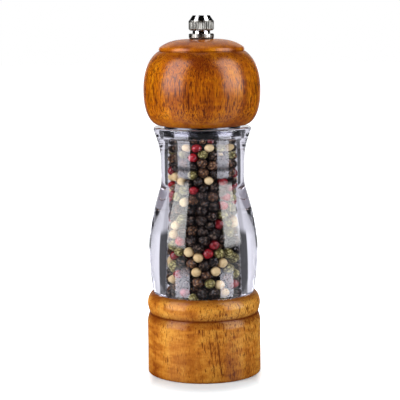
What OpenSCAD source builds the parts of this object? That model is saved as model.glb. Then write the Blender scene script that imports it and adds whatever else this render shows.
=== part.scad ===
// Pepper mill: a turned wooden head and base on a clear body, with a ceramic
// grinding set on a square shaft and a knurled nut that sets the fineness.
// All lengths are in millimetres, +Z is up, and the base stands on z = 0.

/* [Base] */
// Radius of the base's straight wall
base_r = 26.3; // [25.6:0.1:30]
// Height of the base up to the bead's top edge
base_h = 37.8; // [36.5:0.1:42]
// Radius of the bead round the top of the base
bead_r = 26.2; // [25.4:0.1:29]
// Height of the bead's curve above its widest line
bead_rise = 5.3; // [4:0.1:6]
// Height of the bead's curve below its widest line
bead_fall = 4.3; // [3:0.1:5]
// Radius at the bottom of the groove under the bead
groove_r = 25; // [24.4:0.1:25.2]
// Height of the curve from the straight wall up to the groove
groove_fall = 4; // [2:0.1:6]
// Radius of the bottom edge
foot_edge_r = 0.6; // [0.2:0.1:1.5]
// Depth of the socket that holds the clear body
socket_depth = 7.8; // [5:0.1:9]
// Depth of the outlet recess in the underside, down from the housing's flange
outlet_depth = 5; // [4.6:0.1:8]

/* [Clear body] */
// Overall length of the clear body
body_len = 84.4; // [78:0.1:95]
// Outer radius of the end glued into the base
spigot_r = 23; // [22:0.1:23.2]
// Outer radius just above the base
body_foot_r = 23.4; // [23.3:0.1:24.8]
// Outer radius of the belly
belly_r = 25.3; // [24.9:0.1:28]
// Length of the curve from the belly up to the waist
belly_rise = 30.8; // [26:0.1:34]
// Outer radius of the waist
waist_r = 19.15; // [18.6:0.05:21]
// Length of the straight waist
waist_len = 13; // [10:0.1:16]
// Length of the flare from the waist up to the rim
flare_len = 12.2; // [9:0.1:14]
// Outer radius of the rim
rim_r = 22.5; // [21:0.1:24]
// Height of the rim's straight band
rim_band = 1.2; // [0.6:0.1:2]
// Radius of the pepper chamber at its top
chamber_top_r = 15.5; // [15:0.1:16.5]
// Radius of the pepper chamber at its bottom
chamber_foot_r = 17.5; // [17:0.1:18.5]
// Radius of the counterbore that the head's tenon turns in
counterbore_r = 18; // [17.2:0.1:18.2]
// Depth of that counterbore
counterbore_depth = 4.1; // [3:0.1:6]

/* [Head] */
// Overall height of the head above its foot, up to the flat for the nut
head_h = 39; // [37:0.1:44]
// Radius of the head at its widest
head_r = 26.75; // [24:0.05:30]
// Radius of the head's foot, where the lower curve ends
head_foot_r = 18.7; // [18.4:0.1:21]
// Height of the lower curve, from the foot up to the widest line
head_rise = 15.8; // [12:0.1:18]
// Height that the shoulder's curve would have if it ran on to its end
shoulder_rise = 19.7; // [18.4:0.1:24]
// Radius that the shoulder's curve would end at
shoulder_end_r = 13; // [10:0.1:16]
// Radius of the domed cap on top of the shoulder
cap_r = 19.55; // [17:0.05:21]
// Height of the cap's dome if it ran on to the axis
dome_h = 5.2; // [4.8:0.1:7]
// Radius of the flat on top of the cap, under the washer
head_flat_r = 8.3; // [7:0.1:10]
// Depth of the groove under the cap
cap_groove = 0.7; // [0.3:0.1:1.5]
// Height of the groove under the cap
cap_groove_h = 0.6; // [0.3:0.1:1.2]
// Gap between the head's foot and the clear body's rim
head_gap = 0.8; // [0.5:0.1:1.5]
// Radius of the bore through the head
head_bore_r = 4.4; // [4.2:0.1:5]

/* [Driver plate] */
// Radius of the plate under the tenon
plate_r = 12.7; // [11.5:0.1:14]
// Thickness of the plate
plate_t = 1.6; // [1.3:0.1:2.5]
// Radius of the circle that its screws stand on
plate_screw_ring_r = 9; // [8:0.1:9.6]

/* [Drive shaft] */
// Side of the square bar
shaft_side = 5.5; // [5.2:0.1:5.6]
// Radius of the threaded top end
thread_r = 2.5; // [2.2:0.1:2.5]
// Length of the threaded top end
thread_len = 10; // [9:0.1:12]
// Radius of the threaded bottom end
tail_r = 2; // [1.6:0.1:2.2]
// Travel of the shaft from coarse to fine
adjust_travel = 1.5; // [0.5:0.1:1.6]

/* [Nut and washer] */
// Overall height of the nut
nut_h = 10.3; // [9.8:0.1:12]
// Radius of the knurled barrel
nut_r = 5.75; // [5.2:0.05:7]
// Radius of the neck under the barrel
nut_neck_r = 4.05; // [3.6:0.05:4.6]
// Radius of the flat on top
nut_top_r = 4; // [3:0.1:4.4]
// Height of the bevel at the top
nut_bevel_h = 2.6; // [2:0.1:3]
// Height of the knurled barrel
nut_barrel_h = 4.2; // [3.4:0.1:5]
// Height of the flange that presses on the washer
nut_flange_h = 2; // [1.4:0.1:2.4]
// Number of flutes round the nut
flutes = 28; // [20:1:32]
// Radius of each flute
flute_r = 0.42; // [0.3:0.02:0.5]
// Radius of the washer
washer_r = 5.5; // [4.8:0.1:6.4]
// Thickness of the washer
washer_t = 0.4; // [0.3:0.1:1]

/* [Grinding set] */
// Radius of the stator housing's barrel
housing_r = 16.1; // [15.8:0.1:16.4]
// Radius of the opening above the grinding ring
throat_r = 13; // [12.8:0.1:13.2]
// Height of the housing from its flange's underside to its top
housing_h = 24.2; // [23.4:0.1:25]
// Radius of the housing's flange
flange_r = 21.3; // [20.9:0.1:21.6]
// Thickness of the housing's flange
flange_t = 2; // [1.6:0.1:2.6]
// Radius of the circle that the flange's screws stand on
flange_screw_ring_r = 18.8; // [18.6:0.1:19]
// Number of screws through the flange
flange_screws = 3; // [3:1:4]
// Outer radius of the ceramic ring
ring_r = 14; // [13.6:0.1:14.4]
// Height of the ceramic ring
ring_h = 11; // [10:0.1:12]
// Height of the ring's bottom above the housing's underside
ring_lift = 1; // [0.6:0.1:1.4]
// Inner radius of the ring at its bottom edge
ring_mouth_r = 12.1; // [11.9:0.1:12.4]
// Inner radius at the ring's narrowest line
ring_neck_r = 10.8; // [10.6:0.1:11.2]
// Height of the narrowing grinding surface
mill_h = 4.2; // [3.4:0.1:4.6]
// Height of the grinding surface's lower edge above the ring's bottom
mill_lift = 1.4; // [1:0.1:1.8]
// Gap between ring and cone when the mill is set coarse
coarse_gap = 0.9; // [0.8:0.05:1.2]
// Height of the ceramic cone
cone_h = 11.4; // [10:0.1:12]
// Radius of the cone's top
cone_top_r = 6.4; // [6.1:0.1:7]
// Number of cutting grooves in the ring and the cone
teeth = 24; // [16:1:28]
// Depth of the cutting grooves
tooth_depth = 0.7; // [0.4:0.05:0.9]
// Radius of the plastic core inside the cone
core_r = 5.2; // [5.1:0.1:5.4]
// Radius of the core's foot flange
core_flange_r = 7; // [6.4:0.1:7.6]
// Height of the core's foot flange
core_flange_h = 1.4; // [1:0.1:2]

/* [Bridge, bush and spring] */
// Thickness of the steel bridge across the housing
bridge_t = 1.5; // [1.2:0.1:2]
// Width of the bridge's arms
bridge_w = 5.6; // [5:0.1:6.4]
// Radius of the bridge's middle eye
bridge_eye_r = 6.6; // [6.2:0.1:7]
// Half the bridge's length
bridge_end_r = 15.6; // [15.5:0.05:15.7]
// Radius of the circle that the bridge's screws stand on
bridge_screw_ring_r = 14.5; // [14.4:0.05:14.6]
// Radius of the bush where it turns in the bridge
bush_r = 4.9; // [4.8:0.05:5.2]
// Radius of the bush's flange
bush_flange_r = 5.6; // [5.5:0.1:6]
// Thickness of the bush's flange
bush_flange_t = 1.2; // [0.8:0.1:1.6]
// Height that the bush stands above the bridge
bush_proud = 0.5; // [0.3:0.1:0.8]
// Radius of the spring's wire
wire_r = 0.42; // [0.3:0.02:0.44]
// Radius of the spring's coil, to the wire's middle
coil_r = 4.65; // [4.56:0.01:4.7]
// Number of turns in the spring
coil_turns = 4.5; // [3:0.5:5.5]

/* [Fasteners] */
// Radius of the screws' shanks
screw_r = 1.1; // [0.9:0.05:1.2]
// Radius of the countersunk heads
screw_head_r = 2.1; // [1.8:0.1:2.2]
// Length of the flange's screws
flange_screw_len = 9; // [6:0.5:12]
// Length of the driver plate's screws
plate_screw_len = 8; // [5:0.5:10]
// Radius of the bridge screws' shanks
small_screw_r = 0.85; // [0.7:0.05:0.9]
// Radius of the bridge screws' heads
small_head_r = 1.5; // [1.3:0.1:1.6]
// Height of the bridge screws' heads
small_head_h = 1; // [0.8:0.1:1.2]
// Length of the bridge screws' shanks
small_screw_len = 7; // [5:0.5:8]
// Width across the flats of the lock nut
lock_nut_flats = 7; // [6:0.1:8]
// Height of the lock nut
lock_nut_h = 2.6; // [2:0.1:3]
// Radius of the washer above the lock nut
lock_washer_r = 4.6; // [4.2:0.1:5.5]
// Thickness of that washer
lock_washer_t = 0.6; // [0.5:0.1:1]

/* [Peppercorns] */
// Diameter of a peppercorn
corn_d = 4.9; // [4.4:0.1:5]
// Peppercorns in each ring along the chamber's wall
outer_corns = 15; // [12:1:15]
// Peppercorns in each ring round the shaft
inner_corns = 8; // [6:1:9]
// Peppercorns in each ring in the throat
throat_corns = 11; // [8:1:11]

/* [Hidden] */

$fn = 72;
curve_steps = 14;
eps = 0.01;

// Clearances, each used wherever its kind of fit comes up
run_fit = 0.05;
tenon_fit = 0.1;
square_fit = 0.1;
thrust_fit = 0.05;
thread_fit = 0.05;
glue_fit = 0.05;
drop_fit = 0.1;
corn_fit = 0.12;
free_gap = 0.4;

// Exponents of the turned curves: 2 is an ellipse, and more is squarer
head_power = 2.25;
dome_power = 2.15;
bead_power = 1.95;
bead_under_power = 1.3;
groove_power = 1.5;
flare_power = 1.6;

// Heights of the fixed stack, from the table up
flange_z = outlet_depth;
recess_z = flange_z + flange_t;
ring_z = flange_z + ring_lift;
ring_top_z = ring_z + ring_h;
housing_top_z = flange_z + housing_h;
bridge_top_z = housing_top_z + bridge_t;
socket_z = base_h - socket_depth;
rim_z = socket_z + body_len;
ledge_z = rim_z - counterbore_depth;
bead_z = base_h - bead_rise;
groove_z = bead_z - bead_fall;

// Heights of the head and of what hangs from it
head_z = rim_z + head_gap;
head_wide_z = head_z + head_rise;
head_top_z = head_z + head_h;
tenon_z = ledge_z + thrust_fit;
tenon_r = counterbore_r - tenon_fit;
plate_z = tenon_z - plate_t;
dome_z = head_top_z - dome_h * pow(1 - pow(head_flat_r / cap_r, dome_power), 1 / dome_power);
shoulder_z = dome_z - cap_groove_h;
washer_z = head_top_z + thrust_fit;
nut_z = washer_z + washer_t + thrust_fit;
nut_neck_z = nut_z + nut_flange_h;
nut_bevel_z = nut_z + nut_h - nut_bevel_h;
nut_barrel_z = nut_bevel_z - nut_barrel_h;

// The grinding surface's slope, in radius per height
mill_slope = (ring_mouth_r - ring_neck_r) / mill_h;
mill_z = ring_z + mill_lift;
mill_top_z = mill_z + mill_h;

// Heights of the rotor, from the lock nut up, at the coarse setting
tail_tip = 0.2;
lock_nut_z = flange_z + tail_tip;
lock_washer_z = lock_nut_z + lock_nut_h;
cone_z = lock_washer_z + lock_washer_t;
cone_top_z = cone_z + cone_h;
core_top_z = cone_top_z + 0.2;
bush_flange_z = housing_top_z - thrust_fit - bush_flange_t;
bush_top_z = bridge_top_z + bush_proud;
square_z = cone_z + core_flange_h;
thread_z = head_top_z - adjust_travel - 2.6;
shaft_top_z = thread_z + thread_len;
nut_bore_top_z = shaft_top_z + adjust_travel + free_gap;

// The peppercorns' rings
corn_r = corn_d / 2;
corn_pitch = corn_d * 0.91;
fill_z = max(bush_top_z, bridge_top_z + small_head_h) + corn_r + corn_fit;
fill_top_z = plate_z - free_gap - corn_r;
fill_layers = floor((fill_top_z - fill_z) / corn_pitch) + 1;
throat_z = ring_top_z + corn_r + 0.6;
throat_layers = floor((housing_top_z - corn_r - corn_fit - throat_z) / corn_pitch) + 1;
throat_ring_r = throat_r - corn_r - corn_fit - 0.5;

wood_dark = "#9a4a1c";
wood_light = "#b4662c";
steel = "#c4c7cb";
ceramic = "#e9e4d8";

// Points of a quarter superellipse, from its widest point (r0, z0) to its end (r1, z1)
function swell(r0, z0, r1, z1, power) = [
    for (i = [0:curve_steps])
        let (a = 90 * i / curve_steps)
            [r1 + (r0 - r1) * pow(cos(a), 2 / power), z0 + (z1 - z0) * pow(sin(a), 2 / power)]
];

function reversed(points) = [for (i = [len(points) - 1:-1:0]) points[i]];

// The chamber's radius at height z
function chamber_r(z) =
    chamber_foot_r + (chamber_top_r - chamber_foot_r) * (z - socket_z) / (ledge_z - socket_z);

// Points of the ring's or the cone's grinding surface, set in by gap
function mill_r(z, gap) = ring_mouth_r - gap - (z - mill_z) * mill_slope;

module turned(points) {
    rotate_extrude() polygon(points);
}

module around(count, ring_r, turn = 0) {
    for (i = [0:count - 1])
        rotate(turn + 360 * i / count) translate([ring_r, 0, 0]) children();
}

module square_hole(z0, z1) {
    side = shaft_side + 2 * square_fit;
    translate([-side / 2, -side / 2, z0]) cube([side, side, z1 - z0]);
}

// A cross-headed countersunk screw whose head's face lies at z = 0, pointing up
module countersunk_screw(length) {
    sink = screw_head_r - screw_r;
    difference() {
        union() {
            turned([[0, 0], [screw_head_r, 0], [screw_r, sink], [screw_r, length - screw_r],
                [0.2, length], [0, length]]);
        }
        cross_slot(screw_head_r * 0.62, sink * 0.7);
    }
}

module cross_slot(reach, depth) {
    slot_w = reach * 0.36;
    for (turn = [0, 90])
        rotate(turn) translate([-reach, -slot_w / 2, -eps]) cube([2 * reach, slot_w, depth + eps]);
}

module countersunk_hole(depth) {
    sink = screw_head_r - screw_r;
    turned([[0, -eps], [screw_head_r + glue_fit + eps, -eps], [screw_head_r + glue_fit, 0],
        [screw_r + glue_fit, sink], [screw_r + glue_fit, depth], [0, depth]]);
}

module finial_nut() {
    color(steel) difference() {
        turned([
            [0, nut_bore_top_z], [thread_r + thread_fit, nut_bore_top_z],
            [thread_r + thread_fit, nut_z], [nut_r - 0.3, nut_z], [nut_r, nut_z + 0.3],
            [nut_r, nut_neck_z - 0.3], [nut_r - 0.3, nut_neck_z], [nut_neck_r, nut_neck_z],
            [nut_neck_r, nut_barrel_z - 0.5], [nut_r - 0.7, nut_barrel_z - 0.1],
            [nut_r - 0.2, nut_barrel_z + 0.25], [nut_r, nut_barrel_z + 0.8],
            [nut_r, nut_bevel_z], [nut_top_r, nut_z + nut_h], [0, nut_z + nut_h]
        ]);
        around(flutes, nut_r + flute_r / 3)
            translate([0, 0, nut_z - eps]) cylinder(r = flute_r, h = nut_h);
    }
}

module nut_washer() {
    color("#2a2624") translate([0, 0, washer_z]) difference() {
        cylinder(r = washer_r, h = washer_t);
        translate([0, 0, -eps]) cylinder(r = thread_r + drop_fit, h = washer_t + 2 * eps);
    }
}

module head() {
    color(wood_dark) difference() {
        turned(concat(
            [[head_bore_r, tenon_z], [tenon_r - 0.4, tenon_z], [tenon_r, tenon_z + 0.4],
                [tenon_r, head_z], [head_foot_r, head_z]],
            reversed(swell(head_r, head_wide_z, head_foot_r, head_z, head_power)),
            [for (p = swell(head_r, head_wide_z, shoulder_end_r, head_wide_z + shoulder_rise,
                head_power)) if (p[1] > head_wide_z && p[1] < shoulder_z) p],
            [[shoulder_end_r + (head_r - shoulder_end_r) * shoulder_share(), shoulder_z],
                [cap_r - cap_groove, shoulder_z], [cap_r - cap_groove, dome_z]],
            [for (p = swell(cap_r, dome_z, 0, dome_z + dome_h, dome_power))
                if (p[0] > head_flat_r) p],
            [[head_flat_r, head_top_z], [head_bore_r, head_top_z]]
        ));
        around(3, plate_screw_ring_r, 30)
            translate([0, 0, tenon_z - eps])
                cylinder(r = screw_r + glue_fit, h = plate_screw_len - plate_t + 0.5);
    }
}

// How much of the shoulder's curve is left at the height where the cap's groove cuts it
function shoulder_share() =
    pow(1 - pow((shoulder_z - head_wide_z) / shoulder_rise, head_power), 1 / head_power);

module driver_plate() {
    color("#b9bcc0") difference() {
        translate([0, 0, plate_z]) cylinder(r = plate_r, h = plate_t);
        square_hole(plate_z - eps, tenon_z + eps);
        around(3, plate_screw_ring_r, 30) translate([0, 0, plate_z]) countersunk_hole(plate_t + 1);
    }
}

module driver_plate_screws() {
    color(steel) around(3, plate_screw_ring_r, 30)
        translate([0, 0, plate_z]) countersunk_screw(plate_screw_len);
}

module drive_shaft() {
    color("#a9adb3") {
        translate([-shaft_side / 2, -shaft_side / 2, square_z])
            cube([shaft_side, shaft_side, thread_z - square_z]);
        turned([[0, thread_z - eps], [thread_r, thread_z - eps], [thread_r, shaft_top_z - 0.6],
            [thread_r - 0.6, shaft_top_z], [0, shaft_top_z]]);
        turned([[0, lock_nut_z - tail_tip + eps], [tail_r - 0.3, lock_nut_z - tail_tip + eps],
            [tail_r, lock_nut_z + 0.1], [tail_r, square_z + eps], [0, square_z + eps]]);
    }
}

module clear_body() {
    waist_z = rim_z - rim_band - flare_len;
    arch_z = waist_z - waist_len;
    belly_z = arch_z - belly_rise;
    foot_z = base_h + 0.4;
    color("#e8eef2", 0.4) turned(concat(
        [[chamber_foot_r, socket_z], [spigot_r - 0.5, socket_z], [spigot_r, socket_z + 0.5],
            [spigot_r, base_h]],
        [for (i = [0:curve_steps]) let (t = i / curve_steps)
            [belly_r - (belly_r - body_foot_r) * (1 - cos(90 * (1 - t))),
                foot_z + (belly_z - foot_z) * t]],
        [for (i = [1:curve_steps]) let (t = i / curve_steps)
            [waist_r + (belly_r - waist_r) * sin(90 * (1 - t)), belly_z + belly_rise * t]],
        [for (i = [0:curve_steps]) let (t = i / curve_steps)
            [waist_r + (rim_r - waist_r) * pow(t, flare_power), waist_z + flare_len * t]],
        [[rim_r, rim_z - 0.4], [rim_r - 0.4, rim_z], [counterbore_r + 0.3, rim_z],
            [counterbore_r, rim_z - 0.3], [counterbore_r, ledge_z], [chamber_top_r, ledge_z]]
    ));
}

module base() {
    color(wood_light) difference() {
        turned(concat(
            [[flange_r + drop_fit, 0], [base_r - foot_edge_r, 0],
                [base_r - 0.3 * foot_edge_r, 0.3 * foot_edge_r], [base_r, foot_edge_r]],
            swell(base_r, groove_z - groove_fall, groove_r, groove_z, groove_power),
            reversed([for (p = swell(bead_r, bead_z, groove_r, groove_z, bead_under_power))
                if (p[1] > groove_z + eps) p]),
            [for (p = swell(bead_r, bead_z, spigot_r + glue_fit, base_h, bead_power))
                if (p[1] > bead_z + eps) p],
            [[spigot_r + glue_fit, socket_z], [housing_r + drop_fit, socket_z],
                [housing_r + drop_fit, recess_z], [flange_r + drop_fit, recess_z]]
        ));
        around(flange_screws, flange_screw_ring_r, 90)
            translate([0, 0, recess_z - eps])
                cylinder(r = screw_r + glue_fit, h = flange_screw_len - flange_t + 0.5);
    }
}

module stator_housing() {
    color("#26282a") difference() {
        turned([
            [ring_r + glue_fit, flange_z], [flange_r, flange_z], [flange_r, recess_z],
            [housing_r, recess_z], [housing_r, housing_top_z], [throat_r, housing_top_z],
            [throat_r, ring_top_z], [ring_r + glue_fit, ring_top_z]
        ]);
        around(flange_screws, flange_screw_ring_r, 90)
            translate([0, 0, flange_z]) countersunk_hole(flange_t + 1);
        around(2, bridge_screw_ring_r)
            translate([0, 0, housing_top_z - small_screw_len - 0.5])
                cylinder(r = small_screw_r + glue_fit, h = small_screw_len + 1);
    }
}

module housing_screws() {
    color(steel) around(flange_screws, flange_screw_ring_r, 90)
        translate([0, 0, flange_z]) countersunk_screw(flange_screw_len);
}

module grinding_ring() {
    color(ceramic) difference() {
        turned([
            [ring_mouth_r, ring_z], [ring_r, ring_z], [ring_r, ring_top_z],
            [throat_r - 0.6, ring_top_z], [ring_neck_r, mill_top_z], [ring_mouth_r, mill_z]
        ]);
        around(teeth, ring_neck_r)
            translate([0, 0, (ring_z + ring_top_z) / 2]) rotate([22, 0, 0])
                cube([2 * tooth_depth, 1.1, 2 * ring_h], center = true);
    }
}

module bridge() {
    color(steel) difference() {
        union() {
            intersection() {
                translate([-bridge_end_r, -bridge_w / 2, housing_top_z])
                    cube([2 * bridge_end_r, bridge_w, bridge_t]);
                translate([0, 0, housing_top_z]) cylinder(r = bridge_end_r, h = bridge_t);
            }
            translate([0, 0, housing_top_z]) cylinder(r = bridge_eye_r, h = bridge_t);
        }
        translate([0, 0, housing_top_z - eps])
            cylinder(r = bush_r + run_fit, h = bridge_t + 2 * eps);
        around(2, bridge_screw_ring_r)
            translate([0, 0, housing_top_z - eps])
                cylinder(r = small_screw_r + glue_fit, h = bridge_t + 2 * eps);
    }
}

module bridge_screws() {
    color(steel) around(2, bridge_screw_ring_r) difference() {
        turned([
            [0, housing_top_z + bridge_t - small_screw_len],
            [small_screw_r, housing_top_z + bridge_t - small_screw_len + 0.6],
            [small_screw_r, bridge_top_z], [small_head_r, bridge_top_z],
            [small_head_r, bridge_top_z + small_head_h - 0.3],
            [small_head_r - 0.4, bridge_top_z + small_head_h], [0, bridge_top_z + small_head_h]
        ]);
        translate([0, 0, bridge_top_z + small_head_h])
            mirror([0, 0, 1]) cross_slot(small_head_r * 0.6, small_head_h * 0.5);
    }
}

module shaft_bush() {
    color("#efece2") difference() {
        turned([
            [0, bush_flange_z], [bush_flange_r, bush_flange_z],
            [bush_flange_r, bush_flange_z + bush_flange_t], [bush_r, bush_flange_z + bush_flange_t],
            [bush_r, bush_top_z], [0, bush_top_z]
        ]);
        square_hole(bush_flange_z - eps, bush_top_z + eps);
    }
}

// A point on the spring's centre line, and the wire's section there
function coil_point(turn, z) = [coil_r * cos(360 * turn), coil_r * sin(360 * turn), z];
function wire_ring(turn, z, sides) = [
    for (s = [0:sides - 1])
        let (a = 360 * s / sides, r = coil_r + wire_r * cos(a))
            [r * cos(360 * turn), r * sin(360 * turn), z + wire_r * sin(a)]
];

module grind_spring() {
    sides = 8;
    steps_per_turn = 18;
    end_turns = 0.75;
    z0 = core_top_z + wire_r + thrust_fit;
    z1 = bush_flange_z - wire_r - thrust_fit;
    steps = coil_turns * steps_per_turn;
    lead = 2.1 * wire_r * end_turns;
    rise = function (turn)
        turn < end_turns ? lead * turn / end_turns
        : turn > coil_turns - end_turns ? z1 - z0 - lead * (coil_turns - turn) / end_turns
        : lead + (z1 - z0 - 2 * lead) * (turn - end_turns) / (coil_turns - 2 * end_turns);
    points = [for (i = [0:steps]) each wire_ring(i / steps_per_turn,
        z0 + rise(i / steps_per_turn), sides)];
    sides_faces = [for (i = [0:steps - 1], s = [0:sides - 1])
        [i * sides + s, i * sides + (s + 1) % sides,
            (i + 1) * sides + (s + 1) % sides, (i + 1) * sides + s]];
    color(steel) polyhedron(points, concat(
        sides_faces,
        [[for (s = [sides - 1:-1:0]) s]],
        [[for (s = [0:sides - 1]) steps * sides + s]]
    ));
}

module cone_core() {
    color("#1f2123") difference() {
        turned([
            [0, cone_z], [core_flange_r, cone_z], [core_flange_r, cone_z + core_flange_h],
            [core_r, cone_z + core_flange_h], [core_r, core_top_z], [0, core_top_z]
        ]);
        square_hole(square_z - eps, core_top_z + eps);
        translate([0, 0, cone_z - eps])
            cylinder(r = tail_r + drop_fit, h = core_flange_h + 2 * eps);
    }
}

module grinding_cone() {
    shoulder = cone_z + mill_h - (cone_z - mill_z);
    color(ceramic) difference() {
        turned([
            [core_flange_r + glue_fit, cone_z], [mill_r(cone_z, coarse_gap), cone_z],
            [mill_r(shoulder, coarse_gap), shoulder], [cone_top_r, cone_top_z],
            [core_r + glue_fit, cone_top_z], [core_r + glue_fit, cone_z + core_flange_h + glue_fit],
            [core_flange_r + glue_fit, cone_z + core_flange_h + glue_fit]
        ]);
        around(teeth, mill_r(mill_top_z, coarse_gap) + tooth_depth / 2)
            translate([0, 0, cone_z + cone_h / 2]) rotate([-22, 0, 0])
                cube([2 * tooth_depth, 1, 2 * cone_h], center = true);
    }
}

module lock_washer() {
    color(steel) translate([0, 0, lock_washer_z]) difference() {
        cylinder(r = lock_washer_r, h = lock_washer_t);
        translate([0, 0, -eps]) cylinder(r = tail_r + drop_fit, h = lock_washer_t + 2 * eps);
    }
}

module shaft_lock_nut() {
    color(steel) translate([0, 0, lock_nut_z]) difference() {
        cylinder(r = lock_nut_flats / 2 / cos(30), h = lock_nut_h, $fn = 6);
        translate([0, 0, -eps]) cylinder(r = tail_r + thread_fit, h = lock_nut_h + 2 * eps);
    }
}

// Which of the five kinds the peppercorn at this place is: mostly 0 or 1, black or brown
function corn_kind(layer, i, ring) =
    let (n = (7 * layer + 11 * i + 5 * ring + layer * i) % 20)
        n < 6 ? 0 : n < 11 ? 1 : n < 14 ? 2 : n < 17 ? 3 : 4;

module corn_ring(kind, layer, ring, count, ring_r, z) {
    for (i = [0:count - 1])
        if (corn_kind(layer, i, ring) == kind)
            rotate(360 * (i + (layer % 2) / 2) / count)
                translate([ring_r, 0, z]) sphere(d = corn_d);
}

module peppercorns(kind) {
    for (layer = [0:fill_layers - 1])
        let (z = fill_z + layer * corn_pitch, outer = chamber_r(z + corn_r) - corn_r - corn_fit) {
            corn_ring(kind, layer, 0, outer_corns, outer, z);
            corn_ring(kind, layer, 1, inner_corns, outer - corn_d - corn_fit, z);
        }
    for (layer = [0:throat_layers - 1])
        corn_ring(kind, layer, 2, throat_corns, throat_ring_r, throat_z + layer * corn_pitch);
}

module black_peppercorns() {
    color("#2b1d14") peppercorns(0);
}

module brown_peppercorns() {
    color("#5a3a22") peppercorns(1);
}

module white_peppercorns() {
    color("#e2d3ac") peppercorns(2);
}

module green_peppercorns() {
    color("#7d7a3c") peppercorns(3);
}

module pink_peppercorns() {
    color("#a8402f") peppercorns(4);
}

finial_nut();
nut_washer();
head();
driver_plate();
driver_plate_screws();
drive_shaft();
clear_body();
base();
stator_housing();
housing_screws();
grinding_ring();
bridge();
bridge_screws();
shaft_bush();
grind_spring();
cone_core();
grinding_cone();
lock_washer();
shaft_lock_nut();
black_peppercorns();
brown_peppercorns();
white_peppercorns();
green_peppercorns();
pink_peppercorns();
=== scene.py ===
import math

import bpy
import numpy as np
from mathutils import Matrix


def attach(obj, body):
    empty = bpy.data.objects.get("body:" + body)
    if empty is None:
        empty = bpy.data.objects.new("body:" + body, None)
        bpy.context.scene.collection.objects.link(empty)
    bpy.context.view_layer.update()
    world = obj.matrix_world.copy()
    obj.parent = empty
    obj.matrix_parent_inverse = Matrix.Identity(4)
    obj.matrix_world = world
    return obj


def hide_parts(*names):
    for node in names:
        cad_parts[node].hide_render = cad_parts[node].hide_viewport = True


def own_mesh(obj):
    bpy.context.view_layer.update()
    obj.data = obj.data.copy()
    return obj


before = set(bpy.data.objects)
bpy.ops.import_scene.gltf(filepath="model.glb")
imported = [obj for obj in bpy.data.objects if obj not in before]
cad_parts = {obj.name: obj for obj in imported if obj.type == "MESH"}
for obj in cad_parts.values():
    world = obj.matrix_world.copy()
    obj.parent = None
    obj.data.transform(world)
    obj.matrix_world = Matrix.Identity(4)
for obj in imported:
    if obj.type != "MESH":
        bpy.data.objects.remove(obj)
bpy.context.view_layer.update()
print("frame loaded with", len(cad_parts), "nodes")

mm = 0.001  # every shape below is worked out in millimetres


def paint(red, green, blue):
    # an 8-bit colour as the linear colour that shaders take
    share = np.array((red, green, blue)) / 255
    linear = np.where(share <= 0.04045, share / 12.92, ((share + 0.055) / 1.055) ** 2.4)
    return (*linear.tolist(), 1.0)


# Shapes: each is a grid of points, worked out as whole arrays

def meshPiece(name, points, faces, sharpAngle=35):
    # points in millimetres and faces as lists of indices, made into a smooth shaded object
    mesh = bpy.data.meshes.new(name)
    mesh.from_pydata((np.asarray(points, float) * mm).tolist(), [], faces)
    mesh.validate()
    mesh.shade_smooth()
    mesh.set_sharp_from_angle(angle=math.radians(sharpAngle))
    piece = bpy.data.objects.new(name, mesh)
    bpy.context.scene.collection.objects.link(piece)
    return piece


def gridQuads(rows, columns, ringRows=False):
    # quads between neighbouring rows of a grid whose columns run all the way round
    row = np.arange(rows if ringRows else rows - 1)[:, None]
    column = np.arange(columns)[None]
    nextRow, nextColumn = (row + 1) % rows, (column + 1) % columns
    quads = np.stack([row * columns + column, row * columns + nextColumn,
                      nextRow * columns + nextColumn, nextRow * columns + column], -1)
    return quads.reshape(-1, 4).tolist()


def around(radii, heights, count):
    # x = r cos a, y = r sin a, z = h, for angles a all the way round, rows first
    angle = np.linspace(0, 2 * np.pi, count, endpoint=False)[None]
    shape = (len(heights), count)
    radii = np.broadcast_to(np.asarray(radii, float).reshape(shape[0], -1), shape)
    heights = np.broadcast_to(np.asarray(heights, float).reshape(shape[0], -1), shape)
    return np.stack([radii * np.cos(angle), radii * np.sin(angle), heights], -1)


def turnedRing(name, profile, count=192, sharpAngle=35):
    # a closed (radius, height) profile turned round the axis
    grid = around(profile[:, 0], profile[:, 1], count)
    return meshPiece(name, grid.reshape(-1, 3), gridQuads(len(profile), count, True), sharpAngle)


def closedTube(name, grid, ends, sharpAngle):
    # rings of points joined in a row, with a fan of triangles to a point at each end
    rows, count = grid.shape[:2]
    points = np.concatenate([grid.reshape(-1, 3), ends])
    step = np.arange(count)
    after = (step + 1) % count
    last = (rows - 1) * count
    firstFan = np.stack([np.full(count, rows * count), after, step], -1)
    lastFan = np.stack([np.full(count, rows * count + 1), last + step, last + after], -1)
    faces = gridQuads(rows, count) + firstFan.tolist() + lastFan.tolist()
    return meshPiece(name, points, faces, sharpAngle)


def turnedSolid(name, radii, heights, count, sharpAngle):
    # an open profile turned round the axis and closed with points on the axis
    grid = around(radii, heights, count)
    ends = [[0, 0, grid[0, :, 2].mean()], [0, 0, grid[-1, :, 2].mean()]]
    return closedTube(name, grid, ends, sharpAngle)


def sweptWire(name, path, radius, sides=12):
    # circles of the wire's radius, square to the path at each of its points
    along = np.gradient(path, axis=0)
    along /= np.linalg.norm(along, axis=1)[:, None]
    across = np.cross(along, [0, 0, 1.0])
    across /= np.linalg.norm(across, axis=1)[:, None]
    up = np.cross(across, along)
    turn = np.linspace(0, 2 * np.pi, sides, endpoint=False)[None, :, None]
    grid = path[:, None] + radius * (np.cos(turn) * up[:, None] + np.sin(turn) * across[:, None])
    return closedTube(name, grid, path[[0, -1]], 50)


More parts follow.
